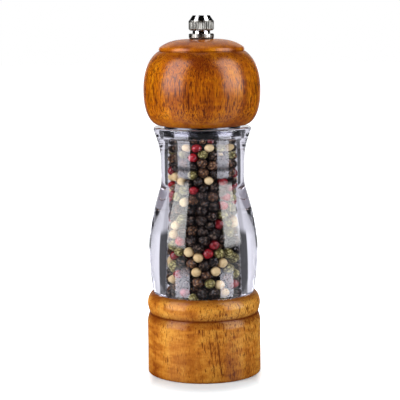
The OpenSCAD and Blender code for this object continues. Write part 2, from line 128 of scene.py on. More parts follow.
def swell(r0, z0, r1, z1, power, steps=36):
    # a quarter of a superellipse: r = r1 + (r0 - r1) cos(a)^(2/p), z = z0 + (z1 - z0) sin(a)^(2/p)
    turn = np.linspace(0, np.pi / 2, steps)
    cosine, sine = np.clip(np.cos(turn), 0, 1), np.sin(turn)
    return np.stack([r1 + (r0 - r1) * cosine ** (2 / power), z0 + (z1 - z0) * sine ** (2 / power)], -1)


def softened(points, steps=5):
    # a closed line of (r, z) points, where one given as (r, z, f) becomes an arc of radius f
    line = []
    for i, point in enumerate(points):
        here = np.array(point[:2], float)
        if len(point) == 2:
            line.append(here)
            continue
        before = np.array(points[i - 1][:2]) - here
        after = np.array(points[(i + 1) % len(points)][:2]) - here
        before, after = before / np.hypot(*before), after / np.hypot(*after)
        half = math.acos(np.clip(before @ after, -1, 1)) / 2
        middle = here + (before + after) / np.hypot(*(before + after)) * point[2] / math.sin(half)
        start = here + before * point[2] / math.tan(half) - middle
        end = here + after * point[2] / math.tan(half) - middle
        sweep = np.pi - 2 * half
        share = np.linspace(0, 1, steps)[:, None]
        arc = middle + (np.sin((1 - share) * sweep) * start + np.sin(share * sweep) * end) / math.sin(sweep)
        line.extend(arc)
    return np.array(line)


def settle(piece, body, finish, slot, *nodes):
    # gives a piece its material, its body and the CAD nodes that it stands for
    piece.data.materials.clear()
    piece.data.materials.append(finish)
    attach(piece, body)
    if nodes:
        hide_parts(*nodes)
    return piece


# Shader maths: an output socket that takes plain operators, and a tree that adds any node

def operator(operation, swapped=False):
    # a method that joins a wire and another wire or number
    def method(self, other):
        return self.join(operation, other, self) if swapped else self.join(operation, self, other)
    return method


class Wire:
    # an output of a node, so that maths on it is written as an expression
    def __init__(self, tree, socket):
        self.tree = tree
        self.socket = socket

    def join(self, operation, *values):
        made = self.tree.nodes.new("ShaderNodeMath")
        made.operation = operation
        for entry, value in zip(made.inputs, values):
            if isinstance(value, Wire):
                self.tree.links.new(value.socket, entry)
            else:
                entry.default_value = value
        return Wire(self.tree, made.outputs[0])

    def __abs__(self):
        return self.join("ABSOLUTE", self)

    __add__ = operator("ADD")
    __radd__ = __add__
    __mul__ = operator("MULTIPLY")
    __rmul__ = __mul__
    __sub__ = operator("SUBTRACT")
    __rsub__ = operator("SUBTRACT", True)
    __truediv__ = operator("DIVIDE")
    __pow__ = operator("POWER")
    __gt__ = operator("GREATER_THAN")
    most = operator("MAXIMUM")


class Finish:
    # a material or a world under construction
    def __init__(self, owner):
        owner.use_nodes = True
        self.owner = owner
        self.tree = owner.node_tree
        self.tree.nodes.clear()

    def node(self, kind, settings=None, values=None, output=0):
        made = self.tree.nodes.new("ShaderNode" + kind)
        for key, value in (settings or {}).items():
            if key == "stops":
                self.rampStops(made.color_ramp.elements, value)
            else:
                setattr(made, key, value)
        for key, value in (values or {}).items():
            if isinstance(value, Wire):
                self.tree.links.new(value.socket, made.inputs[key])
            else:
                made.inputs[key].default_value = value
        return Wire(self.tree, made.outputs[output]) if made.outputs else made

    def rampStops(self, elements, stops):
        while len(elements) < len(stops):
            elements.new(1)
        for element, (place, colour) in zip(elements, stops):
            element.position = place
            element.color = colour

    def place(self, scale=(1, 1, 1), turn=(0, 0, 0)):
        # Object coordinates in millimetres, turned and then stretched
        spot = self.node("TexCoord", output="Object")
        return self.node("Mapping", {"vector_type": "POINT"},
                         {"Vector": spot, "Rotation": tuple(math.radians(t) for t in turn),
                          "Scale": tuple(1000 * s for s in scale)})

    def parts(self, vector):
        # the x, y and z of a vector
        split = self.node("SeparateXYZ", None, {"Vector": vector}).socket.node
        return [Wire(self.tree, output) for output in split.outputs]

    def reach(self, wide=1):
        # the distance from the axis in millimetres, with x counted wide times
        return self.node("VectorMath", {"operation": "LENGTH"}, {0: self.place((wide, 1, 0))}, 1)

    def rays(self, *kinds):
        # what the light path says of the ray
        path = self.node("LightPath").socket.node
        return [Wire(self.tree, path.outputs[kind]) for kind in kinds]

    def noise(self, spot, scale, detail=2.0, roughness=0.5, distortion=0.0):
        return self.node("TexNoise", None, {"Vector": spot, "Scale": scale, "Detail": detail,
                                            "Roughness": roughness, "Distortion": distortion})

    def between(self, value, low, high):
        # 0 below low, 1 above high, and a smooth step between
        return self.node("MapRange", {"interpolation_type": "SMOOTHSTEP"},
                         {"Value": value, "From Min": low, "From Max": high})

    def blend(self, share, first, second, how="MIX"):
        return self.node("Mix", {"data_type": "RGBA", "blend_type": how, "clamp_factor": True},
                         {0: share, 6: first, 7: second}, 2)

    def ramp(self, value, *stops):
        return self.node("ValToRGB", {"stops": stops}, {"Fac": value})

    def bump(self, height, depth, strength=1.0):
        # height 1 stands depth millimetres above height 0
        return self.node("Bump", None, {"Height": height, "Distance": depth * mm, "Strength": strength})

    def surface(self, **values):
        named = {key.replace("_", " "): value for key, value in values.items()}
        return self.node("BsdfPrincipled", None, named)

    def show(self, shader):
        self.node("OutputMaterial", None, {"Surface": shader})
        return self.owner


def newFinish(name):
    return Finish(bpy.data.materials.new(name))


# Camera

view = {"place": (-0.00136, -0.660, 0.174), "tilt": 81.92, "roll": -0.567, "lens": 129.86, "sensor": 36,
        "pixels": 400}
cameraData = bpy.data.cameras.new("camera")
cameraData.lens = view["lens"]
cameraData.sensor_width = view["sensor"]
camera = bpy.data.objects.new("camera", cameraData)
camera.rotation_mode = "ZYX"
camera.location = view["place"]
camera.rotation_euler = (math.radians(view["tilt"]), 0, math.radians(view["roll"]))
bpy.context.scene.collection.objects.link(camera)
bpy.context.scene.camera = camera
bpy.context.scene.view_settings.view_transform = "Standard"

# Studio: the world is plain white to the camera. Glossy and refracted rays meet two tall soft boxes, a dark
# front, a white back and a pale table, and all other rays meet even fill

studio = {
    "fill": 0.37, "fillRise": 0.2, "boxLight": 8.3, "leftBox": (39, 82), "rightBox": (45, 86), "boxSoft": 2,
    "boxFoot": (-4, 0), "boxTop": (56, 62), "topWide": 8, "topFrom": (22, 42), "back": (151, 163),
    "table": 0.25, "tableEdge": (-14, -6), "tableFade": (-50, -14), "mirrored": 1.1, "dark": 0.005,
    "glassDark": (54, 57), "glassLow": (-19, -15), "glassHigh": (55, 70), "glassTop": 0.6,
    "glassGrey": 0.045, "glassFront": 0.025, "glassRear": (88, 100), "glassTint": (0.90, 0.89, 1, 1),
    "glassTable": 0.03, "tableBand": (-31, 7, 12, 0.36), "tableFront": (24, 34, -45, -36, 0.18),
    "tableSides": (50, 70), "tableSteps": [(50, 70, 0.27), (92, 110, 0.24), (130, 140, 0.28)],
    "tableNear": (-60, -35, 0.2),
    "lampSpan": (0.5, 0.6), "lampReach": 0.75, "lampAim": 0.09,
    "lamps": [("leftBox", -62, 15, 6.3), ("rightBox", 70, 15, 3.3), ("leftBack", -150, 30, 1.2),
              ("rightBack", 150, 30, 1.2)],
}
bpy.context.scene.cycles.glossy_bounces = 12  # light turns many times inside the clear wall


def glassTable(f, side, rise):
    # what the clear wall shows of the table: pale in a band low in front, and in steps towards the back
    s = studio
    middle, full, none, bandShare = s["tableBand"]
    band = (1 - f.between(abs(rise - middle), full, none)) * bandShare
    sideFrom, sideTo, riseFrom, riseTo, frontShare = s["tableFront"]
    front = f.between(side, sideFrom, sideTo) * (1 - f.between(rise, riseFrom, riseTo)) * frontShare
    pale = (band + front) * (1 - f.between(side, *s["tableSides"])) + s["glassTable"]
    for start, end, share in s["tableSteps"]:
        pale = pale + f.between(side, start, end) * share
    start, end, share = s["tableNear"]
    return pale + (1 - f.between(rise, start, end)) * share


def makeWorld():
    world = bpy.data.worlds.new("studio")
    bpy.context.scene.world = world
    f = Finish(world)
    s = studio
    soft = s["boxSoft"]
    x, y, z = f.parts(f.node("TexCoord", output="Generated"))
    bearing = x.join("ARCTAN2", x, y * -1) * (180 / math.pi)  # 0 towards the front, 180 at the back
    side = abs(bearing)
    rise = z.join("ARCSINE", z) * (180 / math.pi)
    inBox = 0
    for (near, far), sign in ((s["leftBox"], -1), (s["rightBox"], 1)):
        turn = bearing * sign
        end = far + s["topWide"] * f.between(rise, *s["topFrom"])
        inBox = inBox + f.between(turn, near - soft, near + soft) * (1 - f.between(turn - end, -soft, soft))
    tall = f.between(rise, *s["boxFoot"]) * (1 - f.between(rise, *s["boxTop"]))
    boxes = inBox * tall * s["boxLight"]
    below = 1 - f.between(rise, *s["tableEdge"])
    back = f.between(side, *s["back"]) * (1 - below * (1 - s["table"]))
    table = (1 - f.between(rise, *s["tableFade"])) * s["table"]
    glossy = boxes + table + below * inBox * s["mirrored"] + back + s["dark"]
    # through the clear wall: white behind and dark bands beside it, above the pale table
    band = 1 - f.between(abs(side - 90), *s["glassDark"])
    rear = f.between(side, *s["glassRear"])
    level = rear + (1 - rear) * s["glassFront"]
    above = level * (1 - band) + band * s["glassGrey"] + boxes
    raised = f.between(rise, *s["glassLow"])
    high = f.between(rise, *s["glassHigh"])
    above = above * (1 - high) + s["glassTop"] * high
    through = glassTable(f, side, rise) * (1 - raised) + raised * above
    seen, mirrored, refracted = f.rays("Is Camera Ray", "Is Glossy Ray", "Is Transmission Ray")
    fill = s["fill"] * (1 - s["fillRise"] / 2 + s["fillRise"] * z)
    bounced = mirrored * glossy + (1 - mirrored) * fill
    passed = refracted * through + (1 - refracted) * bounced
    shown = seen + (1 - seen) * passed
    tint = f.blend(refracted, (1, 1, 1, 1), s["glassTint"])
    f.node("OutputWorld", None, {"Surface": f.node("Background", None, {"Color": tint, "Strength": shown})})
    world.cycles.sampling_method = "NONE"


def addLamp(name, bearing, rise, power):
    reach = studio["lampReach"]
    turn, lift = math.radians(bearing), math.radians(rise)
    lamp = bpy.data.lights.new(name, "AREA")
    lamp.shape = "RECTANGLE"
    lamp.size, lamp.size_y = studio["lampSpan"]
    lamp.energy = power
    holder = bpy.data.objects.new(name, lamp)
    holder.location = (reach * math.sin(turn) * math.cos(lift), -reach * math.cos(turn) * math.cos(lift),
                       reach * math.sin(lift) + studio["lampAim"])
    holder.rotation_euler = (math.radians(90) - lift, 0, turn)
    holder.visible_camera = False
    holder.visible_glossy = False
    holder.visible_transmission = False
    bpy.context.scene.collection.objects.link(holder)


floorLook = {"half": 3, "drop": 0.00005, "colour": (0.82, 0.88, 0.915, 1), "oval": 1.22, "glow": (31, 63),
             "beside": (22, 31), "gap": 14}


def makeFloor():
    # pale and shadowed near the mill, and plain white to the camera further off and beside it
    look = floorLook
    f = newFinish("floor")
    mirrored, refracted, seen, diffuse, ahead = f.rays(
        "Is Glossy Ray", "Is Transmission Ray", "Is Camera Ray", "Is Diffuse Ray", "Ray Length")
    below = diffuse * (1 - (ahead > look["gap"] * mm))  # light from below still reaches the underside
    under = f.node("NewGeometry", output="Backfacing")
    across = f.parts(f.place())[0]
    far = f.between(abs(across), *look["beside"]).most(f.between(f.reach(look["oval"]), *look["glow"]))
    lit = f.node("BsdfDiffuse", None, {"Color": look["colour"]})
    glow = f.node("Emission", None, {"Strength": seen * far})
    plain = f.node("AddShader", None, {0: lit, 1: glow})
    clear = f.node("BsdfTransparent")
    hidden = mirrored.most(refracted).most(under.most(below))
    material = f.show(f.node("MixShader", None, {0: hidden, 1: plain, 2: clear}))
    mesh = bpy.data.meshes.new("floor")
    half, low = look["half"], -look["drop"]
    mesh.from_pydata([(-half, -half, low), (half, -half, low), (half, half, low), (-half, half, low)], [],
                     [(0, 1, 2, 3)])
    floor = bpy.data.objects.new("floor", mesh)
    floor.data.materials.append(material)
    bpy.context.scene.collection.objects.link(floor)


makeWorld()
for lampName, lampBearing, lampRise, lampPower in studio["lamps"]:
    addLamp(lampName, lampBearing, lampRise, lampPower)
makeFloor()
print("studio ready")


# Wood: dark pores drawn out along the grain, which is along the axis, under a clear lacquer

def woodTone(f, wood):
    # slow patches, streaks and fibres along the grain, and ripples across it, mixed and coloured
    lean = wood["lean"]
    patch = f.noise(f.place((1, 1, 0.3), lean), 0.06, 2, 0.5, 0.6)
    streak = f.noise(f.place((1, 1, 0.1), lean), 0.34, 4, 0.6, 0.3)
    fibre = f.noise(f.place((1, 1, wood["stretch"]), lean), 2.6, 3, 0.6)
    ripple = f.noise(f.place((0.3, 0.3, 1)), 0.42, 3, 0.55)
    shares = wood["mix"]
    tone = patch * shares[0] + streak * shares[1] + fibre * shares[2] + ripple * shares[3] - 0.03
    return fibre, f.ramp(tone, *zip((0.36, 0.46, 0.55, 0.66), (paint(*tone) for tone in wood["tones"])))


def woodPores(f, wood, across):
    # two sizes of dash drawn out along the grain, crowded in slow patches
    long = f.place((1, 1, wood["stretch"]), wood["lean"])
    slow = f.place((1, 1, 0.3), wood["lean"])
    crowd = f.between(f.noise(slow, 0.09, 2), 0.36, 0.64) * 0.07 + across * wood["sway"]
    dash = f.noise(long, wood["poreScale"], 2, 0.5, 0.1) + crowd
    finer = f.noise(long, wood["poreScale"] * 1.9, 2, 0.55) + crowd
    pores = f.between(dash, wood["poreFrom"], wood["poreFrom"] + 0.07)
    fines = f.between(finer, wood["poreFrom"] - 0.02, wood["poreFrom"] + 0.09) * 0.75
    return dash, pores.most(fines)


def woodFinish(name, wood):
    f = newFinish(name)
    fibre, colour = woodTone(f, wood)
    deep = paint(*wood["tones"][0])
    across, depth, height = f.parts(f.place())
    dash, mark = woodPores(f, wood, across)
    endGrain = f.between(height, *wood["calmAbove"]).most(1 - f.between(height, *wood["calmBelow"]))
    turn = across.join("ARCTAN2", across, depth * -1) * (180 / math.pi)
    for bearing, middle, wide, tall, share in wood["knots"]:
        away = ((turn - bearing) / wide) ** 2 + ((height - middle) / tall) ** 2
        colour = f.blend((1 - f.between(away + (fibre - 0.5) * 2.5, 0, 1)) * share, colour, deep)
    inked = f.blend(mark * (1 - endGrain * 0.6) * wood["poreShare"], colour, wood["pore"])
    for bearing, slope, low, high, width in wood["streaks"]:
        away = abs(turn - (height - 12) * slope - bearing)
        along = f.between(height, low, low + 3) * (1 - f.between(height, high - 3, high))
        inked = f.blend((1 - f.between(away, width * 0.3, width)) * along * f.between(dash, 0.3, 0.5) * 0.8,
                        inked, wood["pore"])
    # painted shade: bands of the wood darkened towards its shade tone, in grooves, under the cap band, round
    # the head's foot and on and under the base
    shade = 0
    for centre, width, share in wood["shadeBand"]:
        shade = shade + (1 - f.between(abs(height - centre), 0, width)) * share
    shadeBanded = f.blend(shade, inked, wood["shadeTone"])
    collar = 1 - f.between(height, wood["collarTop"] - 0.05, wood["collarTop"] + 0.05)
    rough = (0.45 + fibre * 0.12) * (1 - collar * 0.75)
    shell = f.surface(Base_Color=f.blend(collar, shadeBanded, collarSteel), Metallic=collar, Roughness=rough,
                      Specular_IOR_Level=0.0, Coat_Weight=(1 - collar) * (1 - shade * 0.5) * wood["coat"],
                      Coat_Roughness=wood["gloss"], Coat_IOR=1.5, Normal=f.bump(1 - mark, 0.04, 0.5))
    return f.show(shell)


# A knot is bearing, height, half width in degrees, half height and share; a streak is bearing at height 12,
# slope, lowest and highest height and half width; a shade band is height, half height and share of painted
# shade. The head's tenon wears a polished steel collar below collarTop, and the base has none
collarSteel = paint(72, 72, 78)
headWood = {
    "lean": (0, 6, 0), "stretch": 0.095, "poreScale": 1.85, "poreFrom": 0.575, "poreShare": 0.86,
    "sway": 0.0, "mix": (0.32, 0.32, 0.2, 0.22), "calmAbove": (147, 151), "calmBelow": (115, 122),
    "coat": 0.57, "gloss": 0.26, "pore": paint(66, 20, 3), "shadeTone": paint(86, 32, 5), "collarTop": 115.15,
    "tones": ((116, 47, 2), (159, 79, 2), (193, 109, 4), (220, 140, 14)),
    # painted shade bands in the cap's groove, under the cap band and round the head's foot
    "shadeBand": [(149.0, 0.7, 0.3), (147.4, 3.4, 0.3), (115.2, 8.5, 0.5)],
    # the head's two knots darken the front of the shoulder
    "streaks": [], "knots": [(0, 144.0, 20, 5.5, 0.95), (20, 141.5, 8, 9, 0.4)],
}
baseWood = {
    "lean": (3, 7, 0), "stretch": 0.19, "poreScale": 1.6, "poreFrom": 0.625, "poreShare": 0.8,
    "sway": 0.0017, "mix": (0.38, 0.12, 0.22, 0.34), "calmAbove": (38, 39), "calmBelow": (-2, -1),
    "coat": 0.42, "gloss": 0.24, "pore": paint(84, 30, 6), "shadeTone": paint(92, 35, 3), "collarTop": -5,
    "tones": ((134, 66, 13), (180, 108, 32), (203, 137, 50), (221, 162, 72)),
    # painted shade bands in the groove and below it, on the top under the clear body and at the foot
    "shadeBand": [(27.6, 4.2, 0.62), (28.3, 1.1, 0.36), (37.8, 3.6, 0.72), (0.2, 1.6, 0.5)],
    "streaks": [(14.9, -0.26, 2, 25.5, 1.2), (7.4, -0.33, 9, 23, 0.8)],
    "knots": [(-17, 9.5, 16, 5.5, 0.4), (27, 9.0, 13, 5.0, 0.3)],
}

headShape = {
    "foot": 115.2, "footR": 18.7, "wide": 131.0, "wideR": 26.75, "power": 2.25, "shoulderTop": 150.7,
    "shoulderEndR": 13.0, "shoulder": 148.8, "capR": 19.62, "capZ": 149.39, "creaseR": 19.2, "creaseZ": 150.6,
    "flatR": 8.3, "top": 154.2, "bore": 4.4, "tenonR": 17.9, "tenonZ": 110.35, "stepR": 12.75, "stepZ": 111.6,
    "taper": 0.5, "groove": 0.35,
}


def makeHead():
    # swells below and above the widest ring, a short band, and a dome that falls with the fourth power of r
    h = headShape
    lower = swell(h["wideR"], h["wide"], h["footR"], h["foot"], h["power"], 48)[::-1][1:]
    upper = swell(h["wideR"], h["wide"], h["shoulderEndR"], h["shoulderTop"], h["power"], 56)[1:]
    upper = upper[upper[:, 1] < h["shoulder"] - 0.02]
    share = 1 - ((h["shoulder"] - h["wide"]) / (h["shoulderTop"] - h["wide"])) ** h["power"]
    edge = h["shoulderEndR"] + (h["wideR"] - h["shoulderEndR"]) * share ** (1 / h["power"])
    dome = np.linspace(h["creaseR"], h["flatR"], 48)
    fallen = (dome ** 4 - h["flatR"] ** 4) / (h["creaseR"] ** 4 - h["flatR"] ** 4)
    cap = np.stack([dome, h["top"] - (h["top"] - h["creaseZ"]) * fallen], -1)[1:-1]
    inner = h["capR"] - h["groove"]
    points = [(h["bore"], h["tenonZ"], 0.2), (h["stepR"], h["tenonZ"], 0.2), (h["stepR"], h["stepZ"], 0.3),
              (h["tenonR"], h["stepZ"], 0.4), (h["tenonR"] - h["taper"], h["foot"]), (h["footR"], h["foot"])]
    points += [*lower, *upper, (edge, h["shoulder"], 0.08), (inner, h["shoulder"], 0.15),
               (inner, h["capZ"] - 0.08, 0.15), (h["capR"], h["capZ"] - 0.08, 0.1),
               (h["creaseR"], h["creaseZ"], 0.12), *cap, (h["flatR"], h["top"]), (h["bore"], h["top"], 0.3)]
    piece = turnedRing("turnedHead", softened(points))
    return settle(piece, "head", woodFinish("headWood", headWood), "head_wood", "head")


baseShape = {
    "r": 26.3, "top": 37.8, "beadR": 26.2, "beadZ": 32.5, "grooveR": 25.0, "grooveZ": 28.2, "grooveFall": 4.0,
    "socket": 23.05, "socketZ": 30.0, "housing": 16.2, "recessZ": 7.0, "outlet": 21.4,
}


def makeBase():
    b = baseShape
    cove = swell(b["r"], b["grooveZ"] - b["grooveFall"], b["grooveR"], b["grooveZ"], 1.5)
    under = swell(b["beadR"], b["beadZ"], b["grooveR"], b["grooveZ"], 1.3)[::-1][1:]
    over = swell(b["beadR"], b["beadZ"], b["socket"], b["top"], 1.95)[1:]
    points = [(b["outlet"], 0, 0.3), (b["r"], 0, 0.6)]
    points += [*cove, *under, *over, (b["socket"], b["socketZ"]), (b["housing"], b["socketZ"], 0.2),
               (b["housing"], b["recessZ"], 0.2), (b["outlet"], b["recessZ"])]
    piece = turnedRing("turnedBase", softened(points))
    return settle(piece, "mill_body", woodFinish("baseWood", baseWood), "base_wood", "base")


makeHead()
makeBase()
print("wooden head and base turned")

# Clear body: one thick turned wall, bright outside and in

clearShape = {
    "foot": 38.2, "footR": 23.4, "belly": 57.2, "bellyR": 25.3, "arch": 88.5, "archR": 19.15, "waist": 93.7,
    "waistR": 19.05, "lean": 0.055, "flareFrom": 100.5, "flareR": 19.3, "flarePower": 1.6, "rimR": 22.5,
    "flareTo": 113.2, "rim": 114.4, "socketZ": 30.0, "spigotR": 23.0, "ledge": 110.3, "boreTop": 15.8,
    "boreFoot": 17.8, "counterR": 18.0, "step": 0.1, "blend": 1.6, "index": 1.49, "footPaintedGlow": 0.3,
}


def boreRadius(z):
    # the chamber narrows evenly from its foot to the ledge
    c = clearShape
    return c["boreFoot"] + (c["boreTop"] - c["boreFoot"]) * (z - c["socketZ"]) / (c["ledge"] - c["socketZ"])


def bodyLine():
    # cosine foot, sine arch over the belly, a waist that leans out a little both ways and a power curve to
    # the rim, where the corners between them are rounded by a moving average
    c = clearShape
    z = np.arange(c["foot"], c["flareTo"], c["step"])
    low = np.clip((z - c["foot"]) / (c["belly"] - c["foot"]), 0, 1)
    arch = np.clip((z - c["belly"]) / (c["arch"] - c["belly"]), 0, 1)
    flare = np.clip((z - c["flareFrom"]) / (c["flareTo"] - c["flareFrom"]), 0, 1)
    foot = c["bellyR"] - (c["bellyR"] - c["footR"]) * (1 - np.cos(np.pi / 2 * (1 - low)))
    hump = c["archR"] + (c["bellyR"] - c["archR"]) * np.sin(np.pi / 2 * (1 - arch))
    waist = c["waistR"] + c["lean"] * abs(z - c["waist"])
    top = c["flareR"] + (c["rimR"] - c["flareR"]) * flare ** c["flarePower"]
    upper = np.where(z < c["waist"], np.maximum(hump, waist), np.maximum(top, waist))
    sharp = np.where(z < c["belly"], foot, upper)
    half = int(c["blend"] / c["step"])
    rounded = np.convolve(np.pad(sharp, half, mode="reflect", reflect_type="odd"),
                          np.ones(2 * half + 1) / (2 * half + 1), mode="valid")
    return z, rounded


bodyHeights, bodyCurve = bodyLine()


def bodyRadius(z):
    return np.interp(z, bodyHeights, bodyCurve)


def clearFinish():
    # polished but for the matt foot in its socket, which has a weak painted glow standing in for the light
    # led down the wall
    c = clearShape
    f = newFinish("clearAcrylic")
    shadow, diffuse = f.rays("Is Shadow Ray", "Is Diffuse Ray")
    haze = f.noise(f.place((1, 1, 0.5)), 0.5, 3)
    tone = f.blend(haze, (0.975, 0.98, 1, 1), (0.995, 0.995, 1, 1))
    glass = f.surface(Base_Color=tone, Roughness=0.0, IOR=c["index"], Transmission_Weight=1.0)
    height = f.parts(f.place())[2]
    foot = (1 - (height > c["foot"] - 0.6)) * (f.reach() > c["boreFoot"] + 0.1)
    grain = f.noise(f.place(), 1.4, 3)
    # the matt foot's emission is a painted glow
    matt = f.surface(Base_Color=f.blend(grain, paint(190, 190, 200), paint(225, 225, 232)), Roughness=0.6,
                     Emission_Color=(0.82, 0.80, 1, 1), Emission_Strength=c["footPaintedGlow"])
    solid = f.node("MixShader", None, {0: foot, 1: glass, 2: matt})
    clear = f.node("BsdfTransparent", None, {"Color": (0.93, 0.94, 0.95, 1)})
    return f.show(f.node("MixShader", None, {0: shadow.most(diffuse), 1: solid, 2: clear}))


def makeClearBody():
    c = clearShape
    heights = np.linspace(c["foot"], c["flareTo"] - 0.12, 120)
    outside = np.stack([bodyRadius(heights), heights], -1)
    points = [(c["boreFoot"], c["socketZ"], 0.3), (c["spigotR"], c["socketZ"], 0.5),
              (c["spigotR"], c["foot"] - 0.4, 0.15), (c["footR"], c["foot"] - 0.25, 0.1)]
    inner = np.linspace(c["ledge"] - 1, c["socketZ"] + 1, 40)
    points += [*outside, (c["rimR"], c["rim"], 0.7), (c["counterR"], c["rim"], 0.3),
               (c["counterR"], c["ledge"], 0.12), (c["boreTop"], c["ledge"], 0.25),
               *np.stack([boreRadius(inner), inner], -1)]
    piece = turnedRing("clearBody", softened(points), 224, 40)
    return settle(piece, "mill_body", clearFinish(), "clear_acrylic", "clear_body")


makeClearBody()
print("clear body turned")

# Peppercorns: a seeded loose fill, pushed apart round by round

pepper = {
    "seed": 12, "count": 660, "small": 2.05, "large": 2.5, "rounds": 220, "push": 0.42, "sink": 0.03,
    "frontR": {"white": 2.2, "black": 2.45, "brown": 2.45}, "commonR": 2.35, "frontFree": 0.03,
    "frontTurn": 1.3, "frontDepth": 8.5, "frontBlack": 0.75, "wallDepth": 16, "touchShadeDepth": 1.1,
    "crown": 28, "crownReach": 14.25, "crownZ": 109.75, "crownR": 1.42,
    "throat": 22, "throatRing": 11, "throatReach": 10.3, "throatZ": 20.3, "throatRise": 4.6, "throatR": 2.25,
    "sideStep": 2.2, "sideFrom": 34.2, "sideTo": 106.5, "sideBearing": 90, "sideSwing": 8, "sideR": 2.2,
    "sideFree": 0.3, "startReach": 6.5, "startWall": 2.4, "startLift": 2,
    "floor": 31.8, "roof": 108.3, "rimFrom": 12.9, "rimRise": 0.5, "shaft": 3.95,
    "wallGap": 0.02, "share": {"black": 0.47, "brown": 0.22, "green": 0.15, "white": 0.07, "pink": 0.09},
}
# The corns that catch the eye at the front, as kind and place in the camera's frame of 400 by 400
frontCorns = {
    "white": [(174, 229.5), (181, 181), (238, 226), (181.5, 142.5), (232.5, 146.5), (189, 251), (197, 258),
              (196, 268.5), (216, 268), (221, 284), (225, 290), (209.5, 146), (211, 180.5), (183, 204.5),
              (222.5, 263), (171.5, 237), (173, 178), (172.5, 282)],
    "pink": [(223.6, 188), (225.5, 197), (227, 207.5), (209, 254), (216.5, 245.5), (193.7, 191),
             (199.7, 143.5), (191.4, 158), (233, 192.5), (217, 226), (178.5, 289), (174, 241), (238, 284.5)],
    "green": [(225, 146), (182.5, 152), (181, 191.5), (179, 221.5), (226, 216), (231, 235.5), (236, 200),
              (234, 210), (174.5, 200), (200.4, 153), (191.4, 177), (211, 279), (192.5, 296),
              (219.5, 254.5), (231, 252.5), (170.5, 247.5), (176, 252.5), (238, 258), (231, 267.5),
              (239, 273), (233.7, 153.5), (170, 267.5), (228, 226)],
    "brown": [(192, 232), (202, 162), (212.7, 166.3), (211.7, 199), (198, 279.5), (202.5, 173.4), (185, 270),
              (174.8, 145), (233, 172), (222.4, 192), (228, 279), (176.2, 158), (191.5, 200), (182.5, 233),
              (180, 161), (176.8, 213)],
    "black": [(201, 222), (191, 212), (213.5, 206.5), (202, 208.5), (213, 234), (204, 241), (193, 243),
              (192, 222), (212, 217), (212.4, 189), (201.8, 183.3), (202, 196), (204, 292), (213.5, 291),
              (182, 260), (212.7, 155), (176.2, 169), (223.8, 173), (232, 245), (169.8, 291), (238, 293),
              (206, 264)],
}


def onWall(across, down):
    # where a sight line at that place of the frame meets the chamber's wall, bent by the thick clear body
    focal = view["lens"] / view["sensor"] * view["pixels"]
    middle = view["pixels"] / 2
    roll, tilt = math.radians(view["roll"]), math.radians(90 - view["tilt"])
    flatX, flatY = (across - middle) / focal, (middle - down) / focal
    right = flatX * math.cos(roll) - flatY * math.sin(roll)
    up = flatX * math.sin(roll) + flatY * math.cos(roll)
    sight = np.array([right, math.cos(tilt) + up * math.sin(tilt), up * math.cos(tilt) - math.sin(tilt)])
    eye = np.array(view["place"]) / mm
    level = np.hypot(sight[0], sight[1])
    offset = (eye[0] * sight[1] - eye[1] * sight[0]) / level
    height = eye[2] + sight[2] / level * (-eye[1] - pepper["wallDepth"])
    outer, inner = float(bodyRadius(np.array(height))), boreRadius(height)
    offset = np.clip(offset, -inner * 0.99, inner * 0.99)
    index = clearShape["index"]
    bent = math.asin(offset / outer) - math.asin(offset / outer / index) + math.asin(offset / inner / index)
    return bent, height


def atWall(bent, height, radius):
    # the middle of a corn that touches the chamber's wall, and its radius
    reach = boreRadius(height) - radius - pepper["wallGap"]
    return reach * math.sin(bent), -reach * math.cos(bent), height, radius


def drawKinds(rng, count):
    # kinds drawn by their shares
    names = list(pepper["share"])
    odds = np.cumsum(list(pepper["share"].values()))
    return [names[i] for i in np.searchsorted(odds / odds[-1], rng.uniform(size=count))]


def ringOf(turn, reach, height):
    return np.stack([reach * np.sin(turn), -reach * np.cos(turn), height], -1)


def spread(place, radius, free):
    # every corn is pushed out of its neighbours, the wall and the shaft, while the fill sinks a little
    p = pepper
    touch = radius[:, None] + radius[None]
    for turnNumber in range(p["rounds"]):
        gap = place[:, None] - place[None]
        distance = np.sqrt((gap ** 2).sum(-1)) + 1e-6
        overlap = np.clip(touch - distance, 0, None)
        np.fill_diagonal(overlap, 0)
        push = (gap * (overlap / distance)[..., None]).sum(1)
        place = place + push * p["push"] * free
        place[:, 2] -= p["sink"] * (1 - turnNumber / p["rounds"]) * free[:, 0]
        level = np.hypot(place[:, 0], place[:, 1])
        wall = boreRadius(place[:, 2]) - radius - p["wallGap"]
        wanted = np.clip(level, p["shaft"] + radius, wall)
        place[:, :2] *= (wanted / level)[:, None]
        roof = p["roof"] + np.where(wanted > p["rimFrom"], p["rimRise"], 0)
        place[:, 2] = np.clip(place[:, 2], p["floor"] + radius, roof - radius)
    return place


